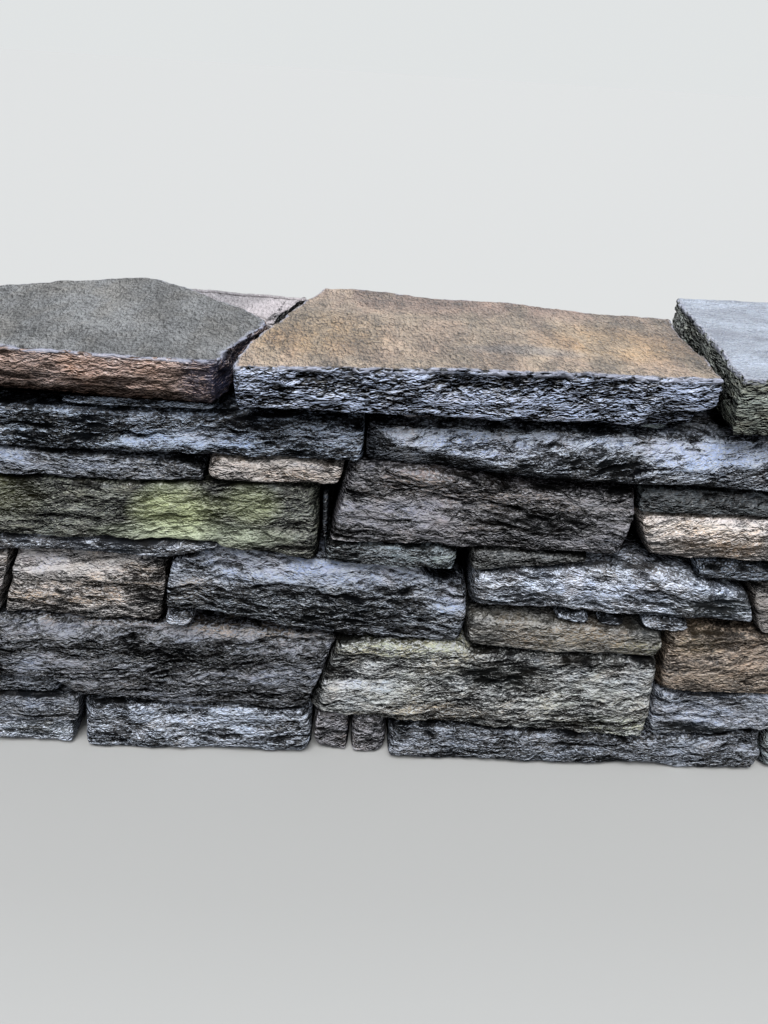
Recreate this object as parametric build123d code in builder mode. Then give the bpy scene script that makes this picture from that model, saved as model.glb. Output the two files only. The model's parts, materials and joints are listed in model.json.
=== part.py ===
from build123d import *
from math import dist, hypot
import os

# A free-standing dry stone wall of flat schist, laid without mortar, with slabs for a coping.
# X runs along the wall, -Y is the photographed face, Z is up, and the ground is at Z = 0.

# Overall sizes, in mm
wall_length = 2100
foot_half_width = 268  # from the wall's middle plane to its face, at the ground
batter = 0.10  # how far a face leans in for each mm of height
face_stone_depth = 150  # how far a stone of the face reaches into the wall

# The wall's ends are closed by stones that run right through from face to face
long_tie = 180  # length along the wall of every other end stone
short_tie = 110

# Joints
bed_gap = 0.3  # between a stone and the one that it rests on
head_gap = 3  # between two neighbours of a course
arris = 3.5  # worn off every edge that shows, which opens the joints at the face
smallest_rest = 25  # a narrower opening between two tops is bridged by the stone above
smallest_edge = 12  # shortest straight piece of a stone's outline
smallest_worn_edge = 9  # the same on its nose
joint_relief = 1  # the nose of a stone is this much smaller than its body all round
nose_length = 8  # from a stone's face back to its body
break_length = 34  # the same where the lower front edge is broken away
sharpest_corner = 0.3  # keeps the worn corner of a thin wedge inside the stone

settling_rounds = 6  # a leaning end moves along as its stone settles

# Breaks: how a stone's face is broken across its layers. Each is a list from the stone's
# bottom to its top, of the share of its height and how far the face stands back there.
even_break = ((0, 5), (0.22, 0), (0.52, 1), (0.62, 5), (1, 9))
low_break = ((0, 3), (0.30, 0), (0.40, 6), (0.85, 5), (1, 11))
stepped_break = ((0, 9), (0.16, 2), (0.40, 0), (0.50, 6), (0.78, 5), (0.86, 1), (1, 8))
ledge_break = ((0, 8), (0.20, 2), (0.46, 0), (0.54, 5), (0.80, 4), (1, 27))
sloping_break = ((0, 11), (0.24, 1), (0.50, 0), (0.66, 6), (1, 25))
hollow_break = ((0, 4), (0.34, 0), (0.50, 8), (0.62, 2), (1, 15))
undercut_break = ((0, 14), (0.40, 5), (0.50, 0), (0.84, 1), (1, 9))
slab_break = ((0, 5), (0.45, 0), (1, 4))
end_break = ((0, 5), (0.14, 0), (0.36, 2), (0.46, 9), (0.68, 7), (0.79, 1), (0.90, 3), (1, 9))
uneven_end_break = ((0, 8), (0.12, 4), (0.30, 6), (0.42, 0), (0.72, 2), (0.82, 8), (1, 10))
past_the_stone = 20  # how far the solid that shapes a break reaches past the stone

# Coping
coping_thickness = 76
right_slab_thickness = 92
rear_filler_thickness = 44
coping_overhang = 10  # past each end of the wall
coping_arris = 3
coping_undercut = 7  # how far the broken edges of a slab stand back at its bed
coping_broken_share = 0.55  # of a slab's thickness

# Pinnings, the small stones that are pushed in under the coping
pin_length = 62
pin_depth = 70
pin_setback = 34  # from the face to a pinning's own face
pin_from_end = (90, 250, 490)  # from the left end to the middles of the first pinnings
pin_middles = (-120, 90, 280, 470)
pin_from_right_end = (400, 250, 60)

end_x = wall_length / 2
left_long, left_short = long_tie - end_x, short_tie - end_x
right_long, right_short = end_x - long_tie, end_x - short_tie


# Laying: each stone of the face rests on the tops of those laid before it

tops = [[(-end_x, -bed_gap), (end_x, -bed_gap)]]


def height_at(run, x):
    """Height at x of a line of points that runs from left to right."""
    for (x0, z0), (x1, z1) in zip(run, run[1:]):
        if x <= x1:
            return z0 + (z1 - z0) * (x - x0) / (x1 - x0)
    return run[-1][1]


def clipped(run, start, end):
    """The part of a line of points that lies between start and end."""
    start, end = max(start, run[0][0]), min(end, run[-1][0])
    if end <= start:
        return []
    inner = [point for point in run if start < point[0] < end]
    return [(start, height_at(run, start)), *inner, (end, height_at(run, end))]


def cover(new_top):
    """Puts a stone's top in place of what it lies on, and drops the cracks beside it."""
    start, end = new_top[0][0], new_top[-1][0]
    kept = [new_top]
    for run in tops:
        for piece in (clipped(run, -end_x, start), clipped(run, end, end_x)):
            if piece and piece[-1][0] - piece[0][0] >= smallest_rest:
                kept.append(piece)
    tops[:] = sorted(kept)


def line_below(start, end):
    """The tops between start and end as one line, straight across the cracks and level
    past the last rest. A low piece of top too short to rest on is bridged like a crack."""
    pieces = [piece for run in tops if (piece := clipped(run, start, end))]
    line = []
    for i, piece in enumerate(pieces):
        beside = [pieces[i - 1][-1][1]] if i > 0 else []
        beside += [pieces[i + 1][0][1]] if i + 1 < len(pieces) else []
        short = piece[-1][0] - piece[0][0] < smallest_rest
        if not (short and beside and max(z for _, z in piece) <= min(beside)):
            line += piece
    if line[0][0] > start:
        line.insert(0, (start, line[0][1]))
    if line[-1][0] < end:
        line.append((end, line[-1][1]))
    return line


def fitted_bed(start, end):
    """An underside that follows what is below. A dip next to a close neighbour is left open."""
    line = line_below(start, end)
    kept = [line[0]]
    for before, point, after in zip(line, line[1:], line[2:]):
        near = min(point[0] - kept[-1][0], after[0] - point[0]) < smallest_edge
        straight = before[1] + (after[1] - before[1]) * (point[0] - before[0]) / (after[0] - before[0])
        if not (near and point[1] <= straight):
            kept.append(point)
    return kept + [line[-1]]


def flat_bed(start, end):
    """A straight underside, settled on the two bearing points either side of its middle."""
    hull = []
    for point in line_below(start, end):
        while len(hull) > 1 and not turns_down(hull[-2], hull[-1], point):
            hull.pop()
        hull.append(point)
    middle = (start + end) / 2
    (x0, z0), (x1, z1) = next(pair for pair in zip(hull, hull[1:]) if pair[1][0] >= middle)
    slope = (z1 - z0) / (x1 - x0)
    return [(x, z0 + slope * (x - x0)) for x in (start, end)]


def turns_down(a, b, c):
    return (b[0] - a[0]) * (c[1] - b[1]) < (c[0] - b[0]) * (b[1] - a[1])


def head(x_low, z_low, x_high, z_high):
    """A leaning joint between neighbours, as its x at the ground and its lean."""
    lean = (x_high - x_low) / (z_high - z_low)
    return x_low - lean * z_low, lean


def side_at(side, gap, z):
    at, lean = side if isinstance(side, tuple) else (side, 0)
    return at + lean * z + gap / 2


def outline(left, right, top_heights, bed=fitted_bed):
    """A stone's outline on the face. Its top is given by its height at the left end, at any
    points between, each with its x, and at the right end."""
    start, end = side_at(left, head_gap, top_heights[0]), side_at(right, -head_gap, top_heights[-1])
    for _ in range(settling_rounds):
        under = [(x, z + bed_gap) for x, z in bed(start, end)]
        start = side_at(left, head_gap, under[0][1])
        end = side_at(right, -head_gap, under[-1][1])
    z_left, *between, z_right = top_heights
    top = [(side_at(left, head_gap, z_left), z_left), *between]
    top.append((side_at(right, -head_gap, z_right), z_right))
    cover(top)
    return under + top[::-1]


# Stones of the face: a body that bears on its neighbours, and a nose with worn edges

up_the_face = hypot(1, batter)


def face_plane(out):
    """The battered face, or a plane that stands out from it or behind it."""
    return Plane(origin=(0, -foot_half_width - out, 0), x_dir=(1, 0, 0), z_dir=(0, -1, batter))


def spaced(points):
    """An outline without the corners that follow another too closely to be worn back."""
    kept = [points[0]]
    for point in points[1:]:
        if dist(point, kept[-1]) >= smallest_worn_edge:
            kept.append(point)
    return kept if dist(kept[0], kept[-1]) >= smallest_worn_edge else kept[:-1]


def inset(points, amount):
    """An outline drawn in by the same amount along every edge, points anticlockwise."""
    drawn = []
    for before, point, after in zip(points[-1:] + points[:-1], points, points[1:] + points[:1]):
        first = Vector(point[0] - before[0], point[1] - before[1]).normalized()
        second = Vector(after[0] - point[0], after[1] - point[1]).normalized()
        reach = amount / max(1 + first.dot(second), sharpest_corner)
        drawn.append((point[0] - reach * (first.Y + second.Y), point[1] + reach * (first.X + second.X)))
    return drawn


def face_sketch(points, out):
    with BuildSketch(face_plane(out)) as sketch:
        with BuildLine():
            Polyline([(x, z * up_the_face) for x, z in points], close=True)
        make_face()
    return sketch.sketch


def nose(points, out, length):
    """The last part of a stone before its face, narrowing to the face."""
    kept = spaced(points)
    with BuildPart() as part:
        add(face_sketch(inset(kept, joint_relief), out - length))
        add(face_sketch(inset(kept, joint_relief + arris), out))
        loft(ruled=True)
    return part.part


def broken_line(low, high, out, face_break):
    """A break as points across the wall, from under the stone to over it, on the front."""
    shares = [(low - past_the_stone, face_break[0][1])]
    shares += [(low + share * (high - low), back) for share, back in face_break]
    shares.append((high + past_the_stone, face_break[-1][1]))
    return [(batter * z - foot_half_width - out + back, z) for z, back in shares]


def long_section(points, top_count):
    """A stone's left and right end, and its layers' slope and height range there."""
    under, top = points[:-top_count], points[:-top_count - 1:-1]
    left, right = min(x for x, _ in points), max(x for x, _ in points)
    at_left, at_right = (under[0][1] + top[0][1]) / 2, (under[-1][1] + top[-1][1]) / 2
    slope = (at_right - at_left) / (right - left)
    offsets = [z - slope * (x - left) for x, z in points]
    return left, right, slope, min(offsets), max(offsets)


def face_stone(points, out, depth, face_points, front_length, face_break, top_count):
    left, right, slope, low, high = long_section(points, top_count)
    start = left - past_the_stone
    sketch_plane = Plane(origin=(start, 0, -slope * past_the_stone), x_dir=(0, 1, 0), z_dir=(1, 0, 0))
    with BuildPart() as stone:
        add(face_sketch(points, out - front_length))
        extrude(amount=depth + out - front_length, dir=(0, 1, 0))
        add(nose(face_points, out, front_length))
        if face_break:
            with BuildSketch(sketch_plane):
                with BuildLine():
                    front = broken_line(low, high, out, face_break)
                    Polyline([*front, (0, front[-1][1]), (0, front[0][1])], close=True)
                make_face()
            along = Vector(1, 0, slope)
            reach = (right - left + 2 * past_the_stone) * along.length
            extrude(amount=reach, dir=along.normalized(), mode=Mode.INTERSECT)
    return stone.part


def mirrored(solid):
    """The same stone on the other face of the wall."""
    return mirror(solid, about=Plane.XZ)


def end_worn(points, outer_x, end_line):
    """The outline of an end stone with its outer side broken back in layers."""
    outer = [point for point in points if abs(point[0] - outer_x) < head_gap]
    rest = [point for point in points if point not in outer]
    low, high = min(z for _, z in outer), max(z for _, z in outer)
    inwards = 1 if outer_x < 0 else -1
    side = [(outer_x + inwards * back, low + share * (high - low)) for share, back in end_line]
    if outer_x > 0:
        bottom_count = sum(1 for _, z in rest if z < (low + high) / 2)
        return rest[:bottom_count] + side + rest[bottom_count:]
    return rest + side[::-1]


def tie_stone(points, face_break):
    """An end stone from face to face, in two mirrored halves that are one solid."""
    left, right = min(x for x, _ in points), max(x for x, _ in points)
    low, high = min(z for _, z in points), max(z for _, z in points)
    sketch_plane = Plane(origin=(left - past_the_stone, 0, 0), x_dir=(0, 1, 0), z_dir=(1, 0, 0))
    with BuildPart() as stone:
        add(face_sketch(points, -nose_length))
        extrude(amount=foot_half_width, dir=(0, 1, 0))
        add(nose(points, 0, nose_length))
        with BuildSketch(sketch_plane):
            with BuildLine():
                front = broken_line(low, high, 0, face_break)
                rear = [(past_the_stone, front[-1][1]), (past_the_stone, front[0][1])]
                Polyline([*front, *rear], close=True)
            make_face()
        extrude(amount=right - left + 2 * past_the_stone, mode=Mode.INTERSECT)
        split(bisect_by=Plane.XZ, keep=Keep.TOP)
        mirror(about=Plane.XZ)
    return stone.part


# The face, laid from the ground up. Of two neighbours with a leaning joint, the one that
# leans away is laid first, because the other hangs over it.

stones = {}
courses = []
left_ties, right_ties = [], []
left_tie_outlines, right_tie_outlines = [], []


def lay(
    name,
    left,
    right,
    top_heights,
    out=0,
    bed=fitted_bed,
    depth=face_stone_depth,
    broken_edge=(),
    face=(),
):
    """Lays one stone. Where its lower front edge is broken away, that edge is given by its
    own points, and the joint below it stands open as far in as the break goes."""
    points = outline(left, right, top_heights, bed)
    face_points = points
    front_length = nose_length
    if broken_edge:
        face_points = [*broken_edge, *points[-len(top_heights):]]
        front_length = break_length
    stone = face_stone(points, out, depth, face_points, front_length, face, len(top_heights))
    stones.setdefault(name, []).append(stone)
    courses[-1].append(mirrored(stone))


def tie_left(inner, top):
    points = outline(-end_x - head_gap / 2, inner, (top, top))
    left_tie_outlines.append(points)
    end_line = end_break if len(left_ties) % 2 == 0 else uneven_end_break
    left_ties.append(tie_stone(end_worn(points, -end_x, end_line), even_break))


def tie_right(inner, top):
    points = outline(inner, end_x + head_gap / 2, (top, top))
    right_tie_outlines.append(points)
    end_line = uneven_end_break if len(right_ties) % 2 == 0 else end_break
    right_ties.append(tie_stone(end_worn(points, end_x, end_line), low_break))


# Foot course
courses.append([])
tie_left(left_long, 100)
tie_right(right_short, 100)
lay("front_foot_slate_lower", left_long, -498, (55, 55), face=slab_break)
lay("front_foot_slate_upper", left_long, -480, (106, 108), out=4, face=even_break)
lay("front_foot_long_stone", -480, -60, (94, (-300, 98), 98), out=6, face=low_break)
lay("front_foot_packing", -60, 10, (85, 88), out=-10)
lay("front_foot_packing", 10, 79, (84, 80), out=-6)
foot_ledge_top = (68, (300, 70), (550, 62), (700, 75), 82)
lay("front_foot_ledge_stone", 79, 787, foot_ledge_top, out=8, face=even_break)
lay("front_right_bay", 787, right_short, (90, 99), face=stepped_break)

# Second course
courses.append([])
tie_left(left_short, 262)
tie_right(right_long, 180)
lay("front_low_wedge", left_short, -515, (146, 150), out=-4)
lay("front_left_bay", left_short, -704, (258, 265), out=3, face=stepped_break)
dark_to_banded = head(-55, 140, -25, 230)
banded_top = (246, (40, 250), (200, 250), (214, 236), 229)
lay("front_banded_long_stone", dark_to_banded, 558, banded_top, out=8, face=stepped_break)
dark_top = (270, (-600, 269), (-300, 261), 252)
lay("front_dark_ledge_stone", -704, dark_to_banded, dark_top, out=12, face=ledge_break)
lay("front_blue_foot_stone", 558, right_long, (166, 168), out=2, face=low_break)
rusty_top = (291, (700, 292), 290)
lay("front_rusty_stone", 560, right_long, rusty_top, out=4, face=even_break)

# Third course
courses.append([])
tie_left(left_long, 395)
tie_right(right_short, 290)
tan_left = head(-602, 268, -565, 395)
tan_right = head(-324, 262, -306, 395)
lay("front_right_bay", right_long, right_short, (286, 288), face=hollow_break)
lay("front_pinnings", tan_right, -266, (292, 297), depth=60)
lay("front_brown_strip_stone", 203, 558, (306, (400, 300), 289), out=2, face=slab_break)
big_slate_top = (392, (-220, 420), (-50, 398), (118, 392), (132, 369), 353)
lay("front_big_slate", tan_right, 203, big_slate_top, out=6, face=sloping_break)
lay("front_tan_block", tan_left, tan_right, (396, (-450, 397), 393), out=-8, face=hollow_break)
lay("front_left_bay", left_long, tan_left, (390, 396), face=even_break)
for chip_left, chip_right, chip_top in ((352, 424, 319), (427, 488, 312), (508, 600, 314)):
    lay("front_pinnings", chip_left, chip_right, (chip_top, chip_top), out=-6, depth=60)
grey_to_peach = head(716, 305, 690, 372)
grey_top = (395, (300, 408), (400, 418), (500, 415), (600, 398), 371)
lay("front_grey_band_stone", 203, grey_to_peach, grey_top, out=5, bed=flat_bed, face=undercut_break)
lay("front_peach_stone", grey_to_peach, right_long, (392, (740, 404), 398), out=-4, face=even_break)
tie_right(right_long, 385)
lay("front_thin_slate", 584, right_short, (427, (700, 427), 424))

# Fourth course
courses.append([])
lay("front_left_bay", left_short, -642, (426, 427), out=-3)
lay("front_thin_slab", -642, -221, (427, (-350, 428), 432), out=3)
tie_left(left_short, 531)
lay("front_left_bay", left_short, -742, (530, 531), out=4, face=low_break)
lay("front_mossy_stone", -742, -56, (531, (-400, 529), (-100, 539), 531), out=7, face=low_break)
lay("front_dark_strip_stone", -51, 179, (439, 438), bed=flat_bed)
purple_left = head(-42, 448, -15, 580)
lay("front_upright_slate", -55, -41, (529, 531), out=-8, depth=90)
lay("front_olive_wedge", 197, 397, (438, 437), out=2)
purple_top = (580, (100, 577), (200, 565), (300, 551), 552)
lay("front_big_purple_stone", purple_left, 461, purple_top, out=6, bed=flat_bed, face=stepped_break)
tie_right(right_short, 512)
cream_left = head(500, 428, 464, 511)
cream_top = (511, (700, 513), 512)
lay("front_cream_stone", cream_left, right_short, cream_top, out=-2, bed=flat_bed, face=undercut_break)

# Fifth course
courses.append([])
tie_left(left_long, 591)
tie_right(right_long, 586)
lay("front_left_bay", left_long, -702, (577, 577), out=-2, face=slab_break)
lay("front_tapered_slate", -702, -240, (577, (-400, 577), (-300, 571), 561), out=2, face=slab_break)
lay("front_pink_stone", -240, purple_left, (577, 579), out=3, bed=flat_bed)
lay("front_dark_upper_stone", 461, right_long, (556, (600, 558), 557), out=-6, face=even_break)
tie_left(left_short, 656)
lay("front_left_bay", left_short, -722, (650, 652), out=2, face=even_break)
black_top = (652, (-400, 653), 650)
lay("front_long_black_stone", -722, 12, black_top, out=4, bed=flat_bed, face=low_break)
lay("front_black_flake", -460, -218, (670, (-340, 674), 671), out=-4, depth=120)
bulging_edge = ((14, 629), (70, 605), (172, 594), (265, 574), (325, 566), (420, 561), (734, 560))
bulging_top = (641, (120, 646), (600, 645), 645)
lay("front_bulging_stone", 12, 736, bulging_top, 8, broken_edge=bulging_edge, face=sloping_break)
lay("front_right_bay", 736, right_long, (645, 644), out=2, face=stepped_break)
tie_right(right_short, 652)
lay("front_right_bay", right_long, right_short, (648, 649), face=low_break)

# Coping bed and the pinnings under it
coping_bed = max(z for run in tops for _, z in run) + bed_gap
left_middles = [distance - end_x for distance in pin_from_end]
right_middles = [end_x - distance for distance in pin_from_right_end]
pins = []
for middle in (*left_middles, *pin_middles, *right_middles):
    line = line_below(middle - pin_length / 2, middle + pin_length / 2)
    points = [(x, z + bed_gap) for x, z in line]
    points += [(points[-1][0], coping_bed - bed_gap), (points[0][0], coping_bed - bed_gap)]
    pins.append(points)


def pinning(points):
    with BuildPart() as pin:
        add(face_sketch(points, -pin_setback))
        extrude(amount=pin_depth, dir=(0, 1, 0))
    return pin.part


# The coping: slabs of uneven plan, laid level on the highest stone, the pinnings and the core


def slab(corners, thickness, bed_corners=()):
    """A slab whose broken edges stand back towards its bed, as given by the bed's corners."""
    broken_height = coping_broken_share * thickness
    with BuildPart() as part:
        with BuildSketch(Plane.XY.offset(coping_bed)):
            with BuildLine():
                Polyline(bed_corners or inset(corners, coping_undercut), close=True)
            make_face()
        with BuildSketch(Plane.XY.offset(coping_bed + broken_height)) as widest:
            with BuildLine():
                Polyline(corners, close=True)
            make_face()
        loft(ruled=True)
        add(widest.sketch)
        extrude(amount=thickness - broken_height)
        chamfer(part.faces().sort_by(Axis.Z)[-1].edges(), length=coping_arris)
    return part.part


# Corners in plan, anticlockwise from the front left
coping_end = end_x + coping_overhang
left_slab_start = -712
far_left_slab = slab(
    [
        (-coping_end, -218),
        (left_slab_start - 4, -226),
        (left_slab_start - 10, 214),
        (-coping_end, 208),
    ],
    coping_thickness,
)
left_slab = slab(
    [
        (left_slab_start, -222),
        (-525, -220),
        (-210, -243),
        (-192, -150),
        (-155, -32),
        (-288, 113),
        (-409, 207),
        (-648, 99),
        (left_slab_start - 4, 40),
    ],
    coping_thickness,
)
# The lower right corner of the middle slab's front is broken away
middle_slab = slab(
    [
        (-181, -251),
        (554, -207),
        (560, 0),
        (563, 108),
        (256, 166),
        (-76, 197),
        (-140, -50),
        (-172, -150),
    ],
    coping_thickness,
    [
        (-168, -233),
        (524, -190),
        (548, 0),
        (556, 100),
        (252, 158),
        (-72, 190),
        (-133, -50),
        (-165, -148),
    ],
)
right_slab = slab(
    [
        (558, -247),
        (coping_end, -222),
        (coping_end, 212),
        (603, 206),
        (580, 60),
    ],
    right_slab_thickness,
)
rear_fillers = [
    slab(
        [(-278, 112), (-154, -14), (-90, 190), (-390, 205)],
        coping_thickness - 10,
    ),
    slab(
        [(left_slab_start, 60), (-650, 104), (-416, 210), (left_slab_start, 212)],
        rear_filler_thickness,
    ),
    slab(
        [(250, 172), (568, 114), (590, 205), (-70, 205)],
        rear_filler_thickness,
    ),
]


# The core: the small stones packed between the two faces, as one mass

core_half_width = foot_half_width - face_stone_depth - bed_gap


def core_side(tie_outlines):
    """The core's stepped end along the inner ends of the end stones, from the ground up."""
    side = []
    low, below = 0, tie_outlines[0]
    for points in tie_outlines:
        x, x_below = (min(abs(x) for x, _ in outline_points) for outline_points in (points, below))
        if x < x_below:
            low = min(z for _, z in points) - bed_gap
        elif x > x_below:
            low = max(z for _, z in below) + bed_gap
        if side:
            side.append((side[-1][0], low))
        side.append((x - head_gap, low))
        below = points
    return side + [(side[-1][0], coping_bed - bed_gap)]


def core():
    right = core_side(right_tie_outlines)
    left = [(-x, z) for x, z in core_side(left_tie_outlines)]
    with BuildPart() as mass:
        with BuildSketch(Plane.XZ):
            with BuildLine():
                Polyline([*right, *left[::-1]], close=True)
            make_face()
        extrude(amount=foot_half_width, both=True)
        for side in (-1, 1):
            face = Plane(origin=(0, side * core_half_width, 0), x_dir=(1, 0, 0), z_dir=(0, side, batter))
            split(bisect_by=face, keep=Keep.BOTTOM)
    return mass.part


# Writing: like stones that share a node are separate solids in it


def write(name, solids):
    with BuildPart() as piece:
        add(solids)
    piece.part.label = name
    export_step(piece.part, f"parts/{name}.step")


os.makedirs("parts", exist_ok=True)
for name, solids in stones.items():
    write(name, solids)
for name, solids in zip(("foot", "second", "third", "fourth", "fifth"), courses):
    write(f"back_{name}_course", solids)
write("left_end_ties", left_ties)
write("right_end_ties", right_ties)
write("core", [core()])
write("coping_far_left_slab", [far_left_slab])
write("coping_left_slab", [left_slab])
write("coping_middle_slab", [middle_slab])
write("coping_right_slab", [right_slab])
write("coping_rear_fillers", rear_fillers)
front_pins = [pinning(points) for points in pins]
write("coping_pinnings", front_pins + [mirrored(pin) for pin in front_pins])
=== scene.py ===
import json
import bmesh
import bpy
import numpy as np
from mathutils import Matrix, Vector
from mathutils.bvhtree import BVHTree


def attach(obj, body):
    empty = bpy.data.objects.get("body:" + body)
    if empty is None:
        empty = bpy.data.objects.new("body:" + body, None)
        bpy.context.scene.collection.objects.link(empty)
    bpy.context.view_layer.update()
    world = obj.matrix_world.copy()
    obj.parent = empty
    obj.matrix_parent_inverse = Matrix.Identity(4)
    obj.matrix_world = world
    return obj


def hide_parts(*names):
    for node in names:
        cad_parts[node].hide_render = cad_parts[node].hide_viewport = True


# A dry stone wall of wet schist. X runs along it, -Y is the photographed face, Z is up.
# Every stone of the part is carved here from its own outline. Lengths are in mm up to the
# point where a mesh is made.

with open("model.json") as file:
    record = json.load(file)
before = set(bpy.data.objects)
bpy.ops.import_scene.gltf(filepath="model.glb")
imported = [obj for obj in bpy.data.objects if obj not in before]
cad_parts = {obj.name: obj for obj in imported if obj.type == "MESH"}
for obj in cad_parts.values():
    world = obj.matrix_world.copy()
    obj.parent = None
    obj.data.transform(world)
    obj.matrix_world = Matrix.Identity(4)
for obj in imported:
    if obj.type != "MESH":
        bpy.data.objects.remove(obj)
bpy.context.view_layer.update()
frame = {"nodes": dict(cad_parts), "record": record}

foot_half_width = 268.0
batter = 0.10  # how far a face leans in for each mm up

# Mesh cells: along the stone, and up it
front_cells = (3.6, 2.1)
back_cells = (9.0, 5.0)
pinning_cells = (7.0, 4.0)
tie_cells = (5.5, 3.6)
slab_cells = (4.6, 4.6)
filler_cells = (6.0, 6.0)
tie_row = 6.5  # between the rows along a through stone
slab_row = 3.0  # between the rows down a slab's side

# Rims, corners and joints
rim_radius = 12.0  # the most that a face is rounded at its rim
slab_rim = 3.5
slab_inset = 2.5  # how far inside the part's outline a slab's broken side lies on average
joint_worn = 0.9  # the least that a joint is opened at the face
soft_corner = 11.0  # the corners of an outline are rounded by about this
soft_pinning = 20.0
filler_worn = 18.0  # how much smaller a filler is than its solid
behind_rim = 26.0  # from here inwards a stone keeps few corners
kept_corner = 4  # one corner in this many is kept there

# Rings behind a face's border: how much of the rim they still turn in by, how many rims they
# lie behind it, and how far they have lost the shape of the face
face_rings = ((0.06, 0.37, 0.3), (0.0, 0.75, 0.6), (0.0, 1.5, 0.9))
tie_rings = ((0.06, 0.37), (0.0, 0.8))


# Noise

def smooth(t):
    return t * t * (3 - 2 * t)


def blend(a, b, t):
    return a + (b - a) * t


def lattice(ix, iy, seed):
    """A fixed random number from -1 to 1 for each pair of whole numbers."""
    ix = np.asarray(ix).astype(np.int64).astype(np.uint64)
    iy = np.asarray(iy).astype(np.int64).astype(np.uint64)
    mask = np.uint64(0xFFFFFFFF)
    n = (ix * np.uint64(374761393) + iy * np.uint64(668265263) + np.uint64(seed * 974711 + 101)) & mask
    for factor in (1274126177, 1103515245):
        n = ((n ^ (n >> np.uint64(15))) * np.uint64(factor)) & mask
    return (n ^ (n >> np.uint64(13))).astype(float) / 0xFFFFFFFF * 2 - 1


def noise(x, y, seed):
    ix, iy = np.floor(x), np.floor(y)
    fx, fy = smooth(x - ix), smooth(y - iy)
    low = blend(lattice(ix, iy, seed), lattice(ix + 1, iy, seed), fx)
    high = blend(lattice(ix, iy + 1, seed), lattice(ix + 1, iy + 1, seed), fx)
    return blend(low, high, fy)


def fbm(x, y, seed, octaves=3):
    total = 0
    for k in range(octaves):
        total = total + noise(x * 2**k, y * 2**k, seed + 17 * k) / 2**k
    return total


def sheets(x, u, thick, length, seed):
    """Layers of split stone. Each stands out by its own amount, which changes along it, and
    slopes back from its lower edge, so that the edge hangs over the layer below."""
    layer = np.floor(u / thick)
    up = u / thick - layer

    def leaf(n, kind):
        at = x / length + 5 * lattice(n, n * 0, seed + 3 + kind)
        ix = np.floor(at)
        along = smooth(np.clip((at - ix - 0.2) / 0.6, 0, 1))
        return blend(lattice(ix, n, seed + kind), lattice(ix + 1, n, seed + kind), along)

    here = leaf(layer, 0) + (0.5 - up) * (1.3 + 1.1 * leaf(layer, 40))
    below = leaf(layer - 1, 0) - 0.5 * (1.3 + 1.1 * leaf(layer - 1, 40))
    return blend(below, here, smooth(np.clip(up / 0.24, 0, 1)))


class Look:
    """How a stone is broken. dip is the slope of its layers, wave how much they bend, rough
    scales the relief, soft rounds the outline, and blunt wears its two ends."""

    def __init__(self, seed, dip, wave, rough, soft=soft_corner, blunt=True):
        self.seed, self.dip, self.wave, self.rough = seed, dip, wave, rough
        self.soft, self.blunt = soft, blunt


def broken(x, z, look):
    """Relief of a face that is broken across its layers."""
    seed = look.seed
    bend = look.wave * fbm(x / 120, z / 60, seed + 1, 2) + 4.6 * fbm(x / 30, z / 15, seed + 12, 2)
    u = z - look.dip * x + bend
    ridges = 6.0 * (0.45 - np.abs(fbm(x / 105, u / 46, seed + 20, 2)))
    thick_sheets = 1.7 * sheets(x, u, 24, 120, seed + 2)
    thin_sheets = 1.2 * sheets(x + 0.4 * u, u + 3, 10.5, 34, seed + 4)
    creases = 1.8 * (0.4 - np.abs(fbm((x + 0.6 * u) / 15, u / 7, seed + 6, 2)))
    crumpling = 1.5 * fbm((x - 0.5 * u) / 12, u / 6, seed + 8, 2)
    return (ridges + thick_sheets + thin_sheets + creases + crumpling) * look.rough


def split_top(x, y, look):
    """Relief of a face that is split along its layers: broad plates and small pimples."""
    seed = look.seed
    height = fbm(x / 190, y / 120, seed + 1, 4) * 3.2
    plates = np.floor(height) + smooth(np.clip((height - np.floor(height)) / 0.35, 0, 1))
    waves = 0.7 * fbm(x / 26, y / 18, seed + 5, 2)
    pimples = 0.5 * fbm(x / 8, y / 7, seed + 9, 2)
    return (0.9 * plates + waves + pimples) * look.rough


# Outlines of the part's solids

def solids_of(node):
    """The separate solids of a node: corners in mm, and triangles for each."""
    mesh = node.data
    mesh.calc_loop_triangles()
    corners = np.empty(len(mesh.vertices) * 3)
    mesh.vertices.foreach_get("co", corners)
    triangles = np.empty(len(mesh.loop_triangles) * 3, dtype=np.int32)
    mesh.loop_triangles.foreach_get("vertices", triangles)
    place = np.array(node.matrix_world)
    corners = corners.reshape(-1, 3) @ place[:3, :3].T + place[:3, 3]
    corners, welded = np.unique(np.round(corners * 1000, 2), axis=0, return_inverse=True)
    triangles = welded.ravel()[triangles].reshape(-1, 3)
    group = np.arange(len(corners))
    while True:
        lowest = group[triangles].min(axis=1)
        spread = group.copy()
        np.minimum.at(spread, triangles.ravel(), np.repeat(lowest, 3))
        if (spread == group).all():
            break
        group = spread
    found = [(corners, triangles[group[triangles[:, 0]] == g]) for g in np.unique(group[triangles])]
    return sorted(found, key=lambda solid: tuple(corners_of(solid).mean(axis=0)))


def corners_of(solid):
    """The corners of all the triangles of a solid."""
    corners, triangles = solid
    return corners[triangles].reshape(-1, 3)


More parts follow.
